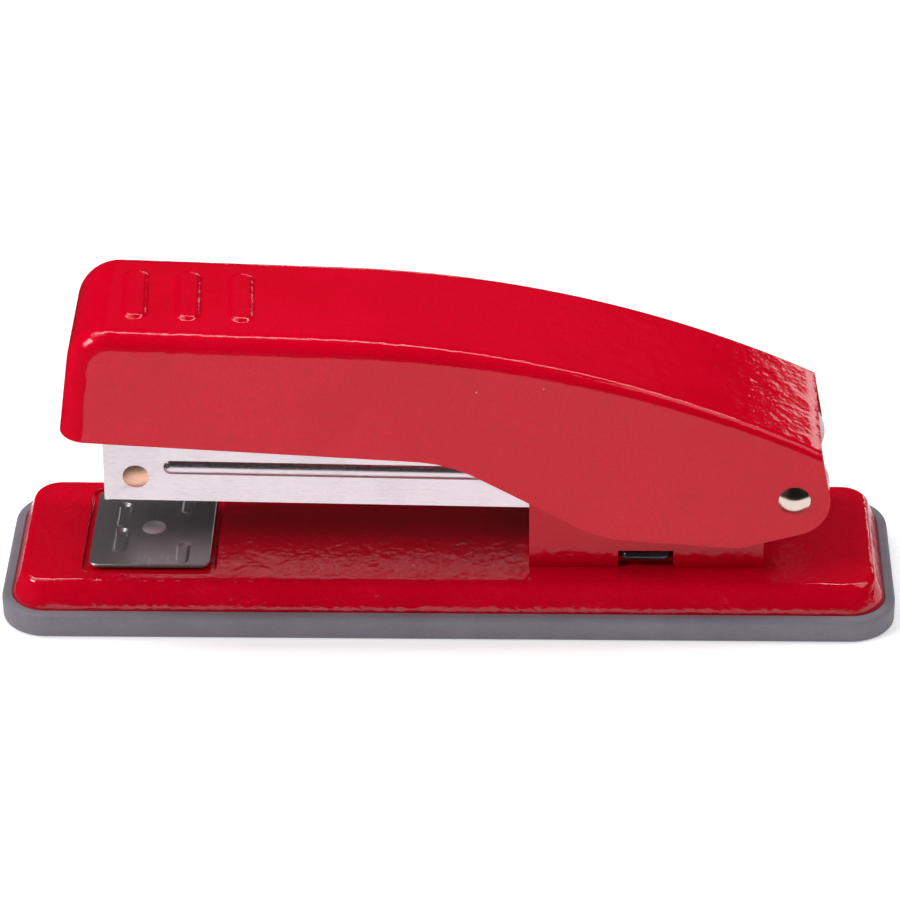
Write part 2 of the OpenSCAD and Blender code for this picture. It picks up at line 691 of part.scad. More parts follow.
// outline that trims the pressed sheet: lower edge, lobe round the pin and rear edge
function at_pivot(x, z) = [pivot_x + x, pivot_height + z];
function skirt_points() =
    let (a = at_pivot(-step_front, step_front_rise), b = at_pivot(-step_rear, -step_rear_drop),
         c = at_pivot(-skirt_rear, -skirt_rear_drop), lobe = at_pivot(-lobe_shift, -lobe_drop),
         front = [slot_x - 12, a[1] + (a[0] - slot_x + 12) * tan(skirt_slope)],
         to_lobe = lobe - c, reach_lobe = norm(to_lobe), side = asin(lobe_radius / reach_lobe),
         tangent = atan2(to_lobe[1], to_lobe[0]) - side, d = c + dir(tangent) * reach_lobe * cos(side))
    concat([front], round_at(front, a, b, skirt_rounds[0]), round_at(a, b, c, skirt_rounds[1]),
           round_at(b, c, d, skirt_rounds[2]),
           [for (i = [0:12]) lobe + lobe_radius * dir(tangent - 90 + (rear_lean - tangent + 90) * i / 12)],
           [lobe + lobe_radius * dir(rear_lean) + 30 * dir(rear_lean + 90), [pivot_x, pivot_height + 50],
            [slot_x - 12, pivot_height + 50]]);

// raised grip across the roof, at a distance behind the centre of the front radius
module grip(along) {
    ball = (grip_width * grip_width / 4 + grip_height * grip_height) / (2 * grip_height);
    half = (grip_length - grip_width) / 2;
    translate([nose_centre[0], 0, nose_centre[1]]) rotate([0, roof_slope, 0])
        translate([along, 0, cover_nose]) intersection() {
            translate([0, 0, grip_height - ball]) rotate([90, 0, 0]) rotate_extrude() {
                translate([0, -half]) square([ball, 2 * half]);
                for (y = [-half, half]) translate([0, y]) intersection() {
                    circle(ball);
                    translate([0, -ball]) square([ball, 2 * ball]);
                }
            }
            translate([-grip_width, -grip_length, -cover_sheet / 2]) cube([2 * grip_width, 2 * grip_length, 3]);
        }
}

module handle_cover() color(enamel) difference() {
    union() {
        intersection() {
            difference() {
                skin(0);
                skin(cover_sheet);
            }
            plate_y(-cover_half - 1, cover_half + 1) polygon(skirt_points());
        }
        for (i = [0:2]) grip((grip_setback - cover_nose_setback + i * grip_pitch) / cos(roof_slope));
    }
    translate(pivot) cyl_y(pin_size / 2 + turn_gap, -cover_half - 1, cover_half + 1);
}

// blade in the slot and the leaf behind it, bent at the top
module driver_blade() color(steel) {
    half = staple_half - 0.15;
    in_magazine() difference() {
        plate_y(-half, half) {
            tip = [-blade_radius, blade_tip];
            run = blade_top - blade_tip;
            lean = run * tan(blade_lean);
            h = blade_thickness / 2;
            polygon([tip + [-h, 0], tip + [h, 0], tip + [lean + h, run - blade_thickness], tip + [lean + saddle_length, run - blade_thickness],
                     tip + [lean + saddle_length, run], tip + [lean - h, run]]);
        }
        for (x = saddle_rivets) translate([x, 0, 0]) cylinder(d = small_rivet, h = saddle_rise + 4);
    }
}

// plate between the cover's walls with a flange hanging down each
module wall_bridge(x0, length, z, hang) {
    translate([x0, -cover_inner, z]) cube([length, 2 * cover_inner, saddle_plate]);
    for (m = [0, 1]) mirror([0, m, 0]) translate([x0, cover_inner - saddle_plate, z - hang])
        cube([length, saddle_plate, hang]);
}

module driver_saddle() color(steel) in_magazine() difference() {
    wall_bridge(-reach + 5, saddle_length - 4, blade_top, flange_height);
    for (x = saddle_rivets) translate([x, 0, 0]) cylinder(d = small_rivet, h = saddle_rise + 4);
}

module saddle_rivet(x) in_magazine() translate([x, 0, 0])
    rivet(small_rivet, rivet_head_size - 1, 0.7, blade_top - blade_thickness, blade_top + saddle_plate);

module driver_rivet_front() color(steel) saddle_rivet(saddle_rivets[0]);

module driver_rivet_rear() color(steel) saddle_rivet(saddle_rivets[1]);

module spring_bridge() color(steel) translate([pivot_x, 0, pivot_height])
    wall_bridge(-spring_ahead - bridge_length / 2, bridge_length, bridge_rise, flange_height / 2);

rubber_pad();
base_pan();
base_bracket();
bracket_rivet_front();
bracket_rivet_rear();
pivot_pin();
pivot_washer_left();
pivot_washer_right();
lift_spring();
anvil_spring();
anvil_button();
anvil_plate();
anvil_pin();
magazine_channel();
nose_plate();
nose_rivet_left();
nose_rivet_right();
inner_rail();
staple_strip();
guide_rod();
rear_stop();
follower_spring();
spring_seat();
handle_spring();
follower();
handle_cover();
driver_blade();
driver_saddle();
driver_rivet_front();
driver_rivet_rear();
spring_bridge();
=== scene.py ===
import math
import random

import bmesh
import bpy
from mathutils import Matrix, Vector


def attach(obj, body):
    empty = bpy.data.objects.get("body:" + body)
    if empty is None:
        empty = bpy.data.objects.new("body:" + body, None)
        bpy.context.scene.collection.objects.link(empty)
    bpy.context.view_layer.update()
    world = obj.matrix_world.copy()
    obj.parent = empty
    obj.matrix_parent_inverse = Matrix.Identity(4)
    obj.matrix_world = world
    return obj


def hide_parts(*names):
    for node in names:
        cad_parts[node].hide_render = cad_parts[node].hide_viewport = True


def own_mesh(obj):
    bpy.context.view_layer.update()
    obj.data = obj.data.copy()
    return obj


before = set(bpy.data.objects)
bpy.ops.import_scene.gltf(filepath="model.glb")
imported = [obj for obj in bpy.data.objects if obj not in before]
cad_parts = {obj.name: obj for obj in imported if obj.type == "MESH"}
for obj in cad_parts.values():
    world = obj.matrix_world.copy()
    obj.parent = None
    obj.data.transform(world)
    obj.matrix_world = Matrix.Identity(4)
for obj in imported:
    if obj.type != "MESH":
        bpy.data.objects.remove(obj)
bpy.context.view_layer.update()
random.seed(11)
print("frame loaded:", len(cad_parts), "nodes")

# sizes below are in millimetres and angles in degrees, and meshes are written in metres
mm = 0.001


class Wire:
    # one output socket, so that a sum of patterns reads as a sum
    def __init__(self, finish, socket):
        self.finish, self.socket = finish, socket

    def maths(self, operation, first, second=0.0):
        return self.finish.node("Math", {"operation": operation}, {0: first, 1: second})

    def __add__(self, other):
        return self.maths("ADD", self, other)

    def __radd__(self, other):
        return self.maths("ADD", other, self)

    def __sub__(self, other):
        return self.maths("SUBTRACT", self, other)

    def __rsub__(self, other):
        return self.maths("SUBTRACT", other, self)

    def __mul__(self, other):
        return self.maths("MULTIPLY", self, other)

    def __rmul__(self, other):
        return self.maths("MULTIPLY", other, self)

    def __gt__(self, other):
        return self.maths("GREATER_THAN", self, other)

    def __lt__(self, other):
        return self.maths("LESS_THAN", self, other)


class Finish:
    def __init__(self, name, **fixed):
        self.material = bpy.data.materials.new(name)
        self.material.use_nodes = True
        self.tree = self.material.node_tree
        self.shader = self.tree.nodes["Principled BSDF"]
        for label, value in fixed.items():
            self.shader.inputs[label.replace("_", " ")].default_value = value
        self.place = self.node("TexCoord", output="Object")

    def node(self, kind, settings=None, values=None, output=0):
        made = self.tree.nodes.new("ShaderNode" + kind)
        for label, value in (settings or {}).items():
            setattr(made, label, value)
        for label, value in (values or {}).items():
            self.plug(made.inputs[label], value)
        return Wire(self, made.outputs[output])

    def plug(self, socket, value):
        if isinstance(value, Wire):
            self.tree.links.new(value.socket, socket)
        elif socket.type == "RGBA":
            socket.default_value = (*value, 1)
        else:
            socket.default_value = value

    def noise(self, size, detail=2.0, rough=0.5, stretch=None):
        # size is the width of one blob in millimetres
        place = self.place
        if stretch:
            place = self.node("Mapping", values={"Vector": place, "Scale": stretch})
        return self.node("TexNoise", values={"Vector": place, "Scale": 1000 / size, "Detail": detail,
                                             "Roughness": rough})

    def mix(self, share, low, high):
        return self.node("Mix", {"data_type": "RGBA"}, {0: share, 6: low, 7: high}, 2)

    def between(self, value, low, high):
        return self.node("MapRange", {"interpolation_type": "SMOOTHSTEP"}, {0: value, 1: low, 2: high})

    def relief(self, height, depth):
        # depth in millimetres for a height of one
        return self.node("Bump", values={"Height": height, "Distance": depth * mm, "Strength": 1.0})

    def surface(self, colour, roughness, normal):
        self.plug(self.shader.inputs["Base Color"], colour)
        self.plug(self.shader.inputs["Roughness"], roughness)
        self.plug(self.shader.inputs["Normal"], normal)
        return self.material


def shaded(colour, share):
    return tuple(channel * share for channel in colour)


enamelLook = {
    "colour": (0.72, 0.0006, 0.019), "thin": (0.76, 0.002, 0.025), "deep": (0.66, 0.0003, 0.015),
    "gloss": 0.07, "speck": (0.75, 0.42, 0.42),
}


def enamelFinish(name, ripple=1.0, paintedShade=1.0, shine=0.32):
    # baked enamel: long and short orange peel, slight clouding, the odd speck of dust
    look = enamelLook
    coat = Finish(name, IOR=1.5, Specular_IOR_Level=shine)
    cloud = coat.noise(16, 3, 0.6)
    peel = coat.noise(2.3, 1.5, 0.45)
    fine = coat.noise(0.75, 1, 0.4)
    grain = coat.noise(0.22, 1, 0.5)
    # the shade share darkens every tone of the red: painted shade, a darker copy of the same enamel for parts
    # that sit in shadow
    main, thin, deep = (shaded(look[key], paintedShade) for key in ("colour", "thin", "deep"))
    tone = coat.mix(coat.between(cloud, 0.35, 0.65), deep, main)
    tone = coat.mix(coat.between(fine, 0.5, 0.85) * 0.5, tone, thin)
    tone = coat.mix(coat.between(grain, 0.35, 0.7) * 0.8, tone, shaded(look["colour"], 0.8 * paintedShade))
    dustCell = coat.node("TexVoronoi", {"feature": "F1"}, {"Vector": coat.place, "Scale": 210})
    dustPick = coat.node("TexVoronoi", {"feature": "F1"}, {"Vector": coat.place, "Scale": 210}, "Color")
    dustDraw = coat.node("SeparateColor", values={0: dustPick})
    dust = (dustCell < 0.035) * (dustDraw > 0.86)
    tone = coat.mix(dust * 0.55, tone, look["speck"])
    height = peel * 0.62 + fine * 0.2 + grain * 0.03
    gloss = look["gloss"] + coat.between(cloud, 0.3, 0.7) * 0.05 + coat.between(grain, 0.4, 0.8) * 0.04
    return coat.surface(tone, gloss, coat.relief(height, 0.15 * ripple))


def rubberFinish():
    look = {"colour": (0.215, 0.20, 0.238), "pale": (0.26, 0.24, 0.28), "dark": (0.185, 0.173, 0.205)}
    skin = Finish("padRubber", IOR=1.5, Specular_IOR_Level=0.35)
    cloud = skin.noise(9, 4, 0.6)
    grain = skin.noise(0.3, 2, 0.6)
    tone = skin.mix(skin.between(cloud, 0.3, 0.7), look["dark"], look["colour"])
    tone = skin.mix(skin.between(grain, 0.45, 0.8) * 0.5, tone, look["pale"])
    return skin.surface(tone, 0.5 + cloud * 0.2, skin.relief(grain + cloud * 0.6, 0.03))


def steelFinish(name, colour, rough, lines=1.0, along=(1, 22, 22), spots=0.0, stain=None, metal=1.0):
    # rolled sheet: fine lines along the sheet, small stains, tiny pits
    plate = Finish(name, Metallic=metal)
    rolled = plate.noise(7, 3, 0.65, stretch=along)
    cloud = plate.noise(11, 3, 0.6)
    grain = plate.noise(0.25, 2, 0.5)
    tone = plate.mix(plate.between(rolled, 0.3, 0.75) * (0.35 * lines), colour, shaded(colour, 0.88))
    tone = plate.mix(plate.between(cloud, 0.42, 0.75) * 0.5, tone, stain or shaded(colour, 0.86))
    if spots:
        pit = plate.node("TexVoronoi", {"feature": "F1"}, {"Vector": plate.place, "Scale": 900})
        tone = plate.mix((pit < 0.16) * spots, tone, shaded(colour, 0.55))
    gloss = rough + plate.between(rolled, 0.3, 0.8) * 0.08 + plate.between(cloud, 0.3, 0.8) * 0.06
    return plate.surface(tone, gloss, plate.relief(rolled * 0.5 * lines + grain * 0.25, 0.008))


def polishedFinish():
    # hardened anvil: dark, lightly scratched by staple ends
    look = {"colour": (0.44, 0.41, 0.425), "worn": (0.58, 0.55, 0.55)}
    plate = Finish("anvilSteel", Metallic=0.88)
    cloud = plate.noise(5, 4, 0.6)
    brush = plate.noise(3, 2, 0.6, stretch=(1, 30, 30))
    scratch = plate.noise(4, 2, 0.5, stretch=(9, 0.7, 9))
    tone = plate.mix(plate.between(cloud, 0.35, 0.75), look["colour"], shaded(look["colour"], 0.85))
    tone = plate.mix(plate.between(scratch, 0.62, 0.72) * 0.6, tone, look["worn"])
    gloss = 0.3 + plate.between(cloud, 0.3, 0.8) * 0.08 + plate.between(brush, 0.4, 0.9) * 0.05
    return plate.surface(tone, gloss, plate.relief(brush * 0.4 + scratch * 0.2, 0.006))


def blackFinish(name, colour=(0.03, 0.03, 0.034), rough=0.3):
    # blued spring steel with a thin oil film
    film = Finish(name, Metallic=0.6, IOR=1.6)
    cloud = film.noise(4, 4, 0.6)
    grain = film.noise(0.3, 2, 0.5)
    tone = film.mix(film.between(cloud, 0.3, 0.7), colour, shaded(colour, 1.9))
    return film.surface(tone, rough + cloud * 0.15, film.relief(grain + film.noise(0.9, 2, 0.5) * 3, 0.02))


finishes = {
    "coverEnamel": enamelFinish("coverEnamel", 1.0),
    # base and bracket carry the same red as the cover with painted shade: the base slightly darker, the
    # bracket darkest as it sits under the cover
    "baseEnamel": enamelFinish("baseEnamel", 1.9, 0.97, 0.48),
    "bracketEnamel": enamelFinish("bracketEnamel", 1.7, 0.85, 0.25),
    "padRubber": rubberFinish(),
    "brightSteel": steelFinish("brightSteel", (0.66, 0.598, 0.638), 0.21, 0.28, metal=0.9),
    "plateSteel": steelFinish("plateSteel", (0.66, 0.64, 0.65), 0.42, 0.25, metal=0.4),
    "railSteel": steelFinish("railSteel", (0.62, 0.60, 0.60), 0.28),
    "nickel": steelFinish("nickel", (0.66, 0.56, 0.49), 0.12, 0.3, (1, 1, 1)),
    "zinc": steelFinish("zinc", (0.55, 0.55, 0.57), 0.35, 1, (3, 3, 3)),
    "copper": steelFinish("copper", (0.90, 0.585, 0.45), 0.33, 0.6, (1, 1, 8), 0.5, (0.72, 0.36, 0.24)),
    "springWire": steelFinish("springWire", (0.58, 0.58, 0.60), 0.22, 0.4, (1, 1, 1)),
    "stapleWire": steelFinish("stapleWire", (0.78, 0.78, 0.80), 0.25, 0.8, (60, 1, 1)),
    "bladeSteel": steelFinish("bladeSteel", (0.50, 0.49, 0.49), 0.3, 1, (22, 22, 1)),
    "anvilSteel": polishedFinish(),
    "pinSteel": steelFinish("pinSteel", (0.78, 0.74, 0.76), 0.42, 0.3, (1, 1, 1)),
    "bluedSpring": blackFinish("bluedSpring", rough=0.1),
    "followerBlack": blackFinish("followerBlack", (0.05, 0.05, 0.055), 0.38),
    "buttonSteel": steelFinish("buttonSteel", (0.36, 0.35, 0.36), 0.34, 0.8, (6, 6, 1)),
}
print("finishes:", len(finishes))


def direction(angle):
    return math.cos(math.radians(angle)), math.sin(math.radians(angle))


def addPiece(name, points, faces, body, finish, standsFor, upward=None):
    mesh = bpy.data.meshes.new(name)
    mesh.from_pydata([(x * mm, y * mm, z * mm) for x, y, z in points], [], faces)
    work = bmesh.new()
    work.from_mesh(mesh)
    bmesh.ops.remove_doubles(work, verts=work.verts, dist=2e-7)
    bmesh.ops.recalc_face_normals(work, faces=work.faces)
    if upward is not None:  # an open sheet: its widest face decides which side is out
        widest = max(work.faces, key=lambda face: face.calc_area() * abs(face.normal.z))
        if (widest.normal.z > 0) != upward:
            bmesh.ops.reverse_faces(work, faces=work.faces)
    work.to_mesh(mesh)
    work.free()
    mesh.polygons.foreach_set("use_smooth", [True] * len(mesh.polygons))
    piece = bpy.data.objects.new(name, mesh)
    bpy.context.scene.collection.objects.link(piece)
    mesh.materials.append(finishes[finish])
    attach(piece, body)
    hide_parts(*standsFor)
    return piece


def sheetUp(piece, thickness, edge=0.0, edgeAngle=50):
    if thickness:
        solid = piece.modifiers.new("sheet", "SOLIDIFY")
        solid.thickness, solid.offset, solid.use_even_offset = thickness * mm, -1, True
    if edge:
        soften(piece, edge, edgeAngle)


def soften(piece, edge, edgeAngle=40, steps=2):
    rounded = piece.modifiers.new("edges", "BEVEL")
    rounded.width, rounded.segments, rounded.limit_method = edge * mm, steps, "ANGLE"
    rounded.angle_limit = math.radians(edgeAngle)
    rounded.use_clamp_overlap = True
    shading = piece.modifiers.new("shading", "WEIGHTED_NORMAL")
    shading.keep_sharp, shading.weight = False, 50


def roundedLoop(halfX, halfY, corner, z, centreX=0.0, perCorner=12):
    loop = []
    for quarter, (sideX, sideY) in enumerate([(1, 1), (-1, 1), (-1, -1), (1, -1)]):
        for step in range(perCorner + 1):
            c, s = direction(90 * (quarter + step / perCorner))
            loop.append((centreX + sideX * (halfX - corner) + corner * c,
                         sideY * (halfY - corner) + corner * s, z))
    return loop


def bridge(loops, closed=False):
    # quads between loops of equal length, and between the last and the first if closed
    count = len(loops[0])
    faces = []
    for k in range(len(loops) - (0 if closed else 1)):
        near, far = k * count, (k + 1) % len(loops) * count
        for i in range(count):
            j = (i + 1) % count
            faces.append((near + i, near + j, far + j, far + i))
    return [point for loop in loops for point in loop], faces


def ringRound(centre, side, up, radius, sides):
    ring = []
    for k in range(sides):
        c, s = direction(360 * k / sides)
        ring.append(centre + radius * (c * side + s * up))
    return ring


def lathe(profile, origin, axis, sides=40):
    # turns a profile of (distance along the axis, radius), which starts and ends on the axis
    axis = Vector(axis).normalized()
    side = axis.orthogonal().normalized()
    up = axis.cross(side)
    loops = []
    for along, radius in profile:
        loops.append(ringRound(Vector(origin) + along * axis, side, up, radius, sides))
    return bridge(loops)


def domeProfile(start, radius, height, outward, steps=10):
    # from the middle of a domed head to its rim, the head's foot at start
    ball = (radius * radius + height * height) / (2 * height)
    widest = math.degrees(math.asin(radius / ball))
    dome = []
    for k in range(steps + 1):
        c, s = direction(widest * k / steps)
        dome.append((start + outward * (height - ball + ball * c), ball * s))
    return dome


def tube(path, radius, sides=12):
    # round wire along a path of points, closed at both ends
    path = [Vector(p) for p in path]
    ahead = (path[1] - path[0]).normalized()
    side = ahead.orthogonal().normalized()
    loops = []
    for i, point in enumerate(path):
        ahead = (path[min(i + 1, len(path) - 1)] - path[max(i - 1, 0)]).normalized()
        side = (side - side.dot(ahead) * ahead).normalized()
        loops.append(ringRound(point, side, ahead.cross(side), radius, sides))
    points, faces = bridge(loops)
    last = len(points) - sides
    faces += [tuple(range(sides))[::-1], tuple(range(last, last + sides))]
    return points, faces


# the rubber pad and the pressed pan in it
pad = {
    "half": (67.0, 16.9), "corner": 7.05, "height": 3.74, "floor": 1.6, "lip": 1.62,
    "edgeRound": 0.7, "footRound": 0.25, "lipRound": 0.2, "floorRound": 0.1, "hole": 7.3, "holeX": -44.7,
}


def makePad(size):
    halfX, halfY, corner = *size["half"], size["corner"]
    inset = lambda by, z: roundedLoop(halfX - by, halfY - by, corner - by, z)
    ring = lambda z: roundedLoop(size["hole"], size["hole"], size["hole"], z, size["holeX"])
    top, edge, foot, lip = size["height"], size["edgeRound"], size["footRound"], size["lip"]
    floor, lipRound, floorRound = size["floor"], size["lipRound"], size["floorRound"]
    loops = [ring(0.0)]
    loops += [inset(foot * (1 - math.sin(a)), foot * (1 - math.cos(a))) for a in (0, 0.52, 1.05, 1.5708)]
    for step in range(9):
        c, s = direction(90 * step / 8)
        loops.append(inset(edge * (1 - c), top - edge + edge * s))
    for step in range(5):
        c, s = direction(90 * step / 4)
        loops.append(inset(lip - lipRound * c, top - lipRound * (1 - c)))
    loops += [inset(lip, floor + floorRound), inset(lip + floorRound, floor), ring(floor)]
    points, faces = bridge(loops, closed=True)
    piece = addPiece("rubberPad", points, faces, "base", "padRubber", ["rubber_pad"])
    soften(piece, 0.08, 60)
    return piece


pan = {
    "half": (65.38, 15.28), "corner": 5.43, "top": 8.0, "low": 1.6, "lipLine": 3.74, "lean": 22,
    "bend": 1.3, "sheet": 1.0, "pocketX": -44.7, "pocketHalf": (10.0, 11.5), "pocketCorner": 2.0,
    "pocketFloor": 7.4, "rimRound": 0.32, "pinHole": 1.55,
}


def makePan(size):
    halfX, halfY, corner = *size["half"], size["corner"]
    inset = lambda by, z: roundedLoop(halfX - by, halfY - by, corner - by, z)
    pocket = lambda out, z: roundedLoop(size["pocketHalf"][0] + out, size["pocketHalf"][1] + out,
                                        size["pocketCorner"] + out, z, size["pocketX"])
    top, bend, rim, floor = size["top"], size["bend"], size["rimRound"], size["pocketFloor"]
    loops = [inset(0, size["low"]), inset(0, size["lipLine"])]
    leanC, leanS = direction(size["lean"])
    sideRise = top - bend * (1 - leanS) - size["lipLine"]
    sideRun = sideRise * leanS / leanC
    loops += [inset(sideRun * k / 3, size["lipLine"] + sideRise * k / 3) for k in (1, 2)]
    for step in range(15):  # the leaning side turns into the flat top
        c, s = direction(size["lean"] + (90 - size["lean"]) * step / 14)
        loops.append(inset(sideRun + bend * (leanC - c), top - bend + bend * s))
    for step in range(7):  # over the rim of the pocket and into its floor
        c, s = direction(90 * step / 6)
        loops.append(pocket(rim * (1 - s), top - rim * (1 - c)))
    fillet = top - rim - floor
    for step in range(7):
        c, s = direction(90 * step / 6)
        loops.append(pocket(-fillet * (1 - c), floor + fillet * (1 - s)))
    loops.append(roundedLoop(size["pinHole"], size["pinHole"], size["pinHole"], floor, size["pocketX"]))
    points, faces = bridge(loops)
    piece = addPiece("panShell", points, faces, "base", "baseEnamel", ["base_pan"],
                     upward=True)
    sheetUp(piece, size["sheet"], 0.1, 60)
    return piece


makePad(pad)
makePan(pan)
print("pad and pan done")


# the anvil plate with its soft grooves
anvil = {
    "centreX": -44.7, "half": (9.1, 10.2), "corner": 1.5, "top": 8.45, "under": 8.05, "edge": 0.22,
    "grooveLine": 4.8, "grooveHalf": 1.0, "grooveDepth": 0.35, "shoulder": 1.12, "wall": 0.55,
    "deepest": 1.08, "dish": 0.12,
    "clinch": (0.25, 6.65), "pinning": (4.05, 9.45), "disc": 9.05, "discLow": 7.45,
}


def makeAnvil(size, across=104, along=116):
    halfX, halfY, corner, top = *size["half"], size["corner"], size["top"]

    def outline(x, y):  # pulls the corners of a square grid in to the rounded outline
        u, v = (abs(x) - halfX + corner) / corner, (abs(y) - halfY + corner) / corner
        if u > 0 and v > 0:
            x = math.copysign(halfX - corner + corner * u * math.sqrt(1 - v * v / 2), x)
            y = math.copysign(halfY - corner + corner * v * math.sqrt(1 - u * u / 2), y)
        return x, y

    def height(x, y):
        u, v = max(abs(x) - halfX + corner, 0), max(abs(y) - halfY + corner, 0)
        inside = corner - math.hypot(u, v) if u and v else min(halfX - abs(x), halfY - abs(y))
        z = top
        if inside < size["edge"]:
            run = size["edge"] - max(inside, 0)
            z -= size["edge"] - math.sqrt(max(size["edge"] ** 2 - run * run, 0))
        half = size["grooveHalf"]
        for side, (low, high) in ((-1, size["clinch"]), (1, size["pinning"])):
            nearest = min(max(abs(y), low + half), high - half)
            away = math.hypot(x - side * size["grooveLine"], abs(y) - nearest) / half
            # dished bottom, steep wall, soft shoulder
            slope = min(max((size["shoulder"] - away) / size["wall"], 0), 1)
            dished = size["deepest"] - size["dish"] * min(away, 1)
            z -= size["grooveDepth"] * slope * slope * (3 - 2 * slope) * dished
        return z

    points, faces = [], []
    for i in range(along + 1):
        for j in range(across + 1):
            x, y = outline(halfX * (2 * j / across - 1), halfY * (2 * i / along - 1))
            points.append((size["centreX"] + x, y, height(x, y)))
    row = across + 1
    for i in range(along):
        for j in range(across):
            faces.append((i * row + j, i * row + j + 1, (i + 1) * row + j + 1, (i + 1) * row + j))
    border = list(range(across)) + [i * row + across for i in range(along)]
    border += [along * row + j for j in range(across, 0, -1)]
    border += [i * row for i in range(along, 0, -1)]
    rings = [border]
    for shape in ("side", "disc", "low"):
        ring = []
        for index in border:
            x, y, _ = points[index]
            if shape == "side":
                points.append((x, y, size["under"]))
            else:
                turn = math.atan2(y, x - size["centreX"])
                points.append((size["centreX"] + size["disc"] * math.cos(turn), size["disc"] * math.sin(turn),
                               size["under"] if shape == "disc" else size["discLow"]))
            ring.append(len(points) - 1)
        rings.append(ring)
    for near, far in zip(rings, rings[1:]):
        for k in range(len(near)):
            n = (k + 1) % len(near)
            faces.append((near[k], near[n], far[n], far[k]))
    faces.append(tuple(rings[-1]))
    piece = addPiece("anvilTop", points, faces, "anvil", "anvilSteel", ["anvil_plate"])
    piece.data.set_sharp_from_angle(angle=math.radians(50))
    return piece


makeAnvil(anvil)
print("anvil done")


# the cover, one pressed sheet
cover = {
    "half": 12.0, "sheet": 1.1, "columns": 110, "bendSteps": 12,
    # radii of the bend between roof and sides, and how they change from the nose down and to the rear
    "frontBend": 3.5, "bend": 2.6, "rearBend": 1.25, "lowCorner": 4.2, "cornerRun": 18.9, "bendFade": 0.9,
    # outer line of the roof: front wall, nose, flat with the grips, long arc
    "noseCentre": (-48.85, 43.225), "noseRadius": 6.3, "wallAngle": 171.9, "wallRun": 13.0,
    "flatAngle": 88.0, "flatEnd": (-17.27, 48.43),
    "arcCentre": (-23.34, -125.47), "arcRadius": 174.0, "arcEnd": 63.5,
    # lower edge: straight from the front, then the corners of the skirt, then the lobe round the pin
    "frontSlope": 3.5, "skirt": ((0.3, 28.0), (22.8, 14.95), (43.3, 13.4)), "rounds": (21, 17, 5.5),
    "lobe": (50.7, 21.5), "lobeRadius": 5.75, "rearLean": 10.5, "pivot": (51.2, 21.9), "bore": 1.6,
    "gripAt": (3.05, 10.8, 18.56), "gripSkew": 0.061, "gripWidth": 4.3, "gripFlat": 1.05,
    "gripLength": 14.3, "gripHeight": 0.525, "gripEnd": 21.5, "gripStep": 0.15, "plainStep": 1.3,
}


def roundCorner(a, b, c, radius, steps=14):
    a, b, c = Vector(a), Vector(b), Vector(c)
    u, v = (a - b).normalized(), (c - b).normalized()
    half = math.acos(max(-1, min(1, u.dot(v)))) / 2
    centre = b + (u + v).normalized() * radius / math.sin(half)
    p, q = b + u * radius / math.tan(half) - centre, b + v * radius / math.tan(half) - centre
    start = math.atan2(p.y, p.x)
    sweep = (math.atan2(q.y, q.x) - start + math.pi) % (2 * math.pi) - math.pi
    turns = [math.degrees(start + sweep * k / steps) for k in range(steps + 1)]
    return [centre + radius * Vector(direction(turn)) for turn in turns]


def lowerEdge(size):
    # from the front wall backwards, round the lobe and up to its rear tangent point
    a, b, c = (Vector(corner) for corner in size["skirt"])
    front = a - Vector(direction(-size["frontSlope"])) * 70
    lobe, radius = Vector(size["lobe"]), size["lobeRadius"]
    reach = (lobe - c).length
    side = math.asin(radius / reach)
    heading = math.degrees(math.atan2(lobe.y - c.y, lobe.x - c.x) - side)
    touch = c + Vector(direction(heading)) * reach * math.cos(side)
    edge = []
    for before, corner, after, rounding in zip((front, a, b), (a, b, c), (b, c, touch), size["rounds"]):
        edge += roundCorner(before, corner, after, rounding)
    start, end = heading - 90, size["rearLean"]
    return edge + [lobe + radius * Vector(direction(start + (end - start) * k / 28)) for k in range(29)]


def gripHeightAt(size, along, across):
    # a flat crown with soft flanks round it, by the distance from the grip's middle line
    run = max(abs(across) - (size["gripLength"] - size["gripWidth"]) / 2, 0)
    away = min(math.hypot(along + size["gripSkew"] * across - at, run) for at in size["gripAt"])
    share = (away - size["gripFlat"]) / (size["gripWidth"] / 2 - size["gripFlat"])
    return size["gripHeight"] * (1 + math.cos(math.pi * min(max(share, 0), 1))) / 2


def coverStations(size):
    # outer line of the roof, from the foot of the front wall to the rear.
    # each station is a point, the angle it faces, the bend there and the way along the flat
    stations = []
    nose, radius = Vector(size["noseCentre"]), size["noseRadius"]
    wallTop = nose + radius * Vector(direction(size["wallAngle"]))
    down = Vector(direction(size["wallAngle"] + 90))
    for k in range(12, 0, -1):
        run = size["wallRun"] * k / 12
        bend = size["frontBend"] + (size["lowCorner"] - size["frontBend"]) * run / size["cornerRun"]
        stations.append((wallTop + run * down, size["wallAngle"], bend, None))
    for k in range(19):
        angle = size["wallAngle"] + (size["flatAngle"] - size["wallAngle"]) * k / 18
        bend = size["frontBend"] + (size["bend"] - size["frontBend"]) * k / 18
        stations.append((nose + radius * Vector(direction(angle)), angle, bend, None))
    start, end = stations[-1][0], Vector(size["flatEnd"])
    length = (end - start).length
    along = size["gripStep"]
    while along < length:
        stations.append((start.lerp(end, along / length), size["flatAngle"], size["bend"], along))
        along += size["gripStep"] if along < size["gripEnd"] else size["plainStep"]
    for k in range(64):  # towards the rear the bend gets tighter
        angle = size["flatAngle"] + (size["arcEnd"] - size["flatAngle"]) * k / 63
        bend = size["bend"] + (size["rearBend"] - size["bend"]) * (k / 63) ** size["bendFade"]
        spot = Vector(size["arcCentre"]) + size["arcRadius"] * Vector(direction(angle))
        stations.append((spot, angle, bend, None))
    return stations


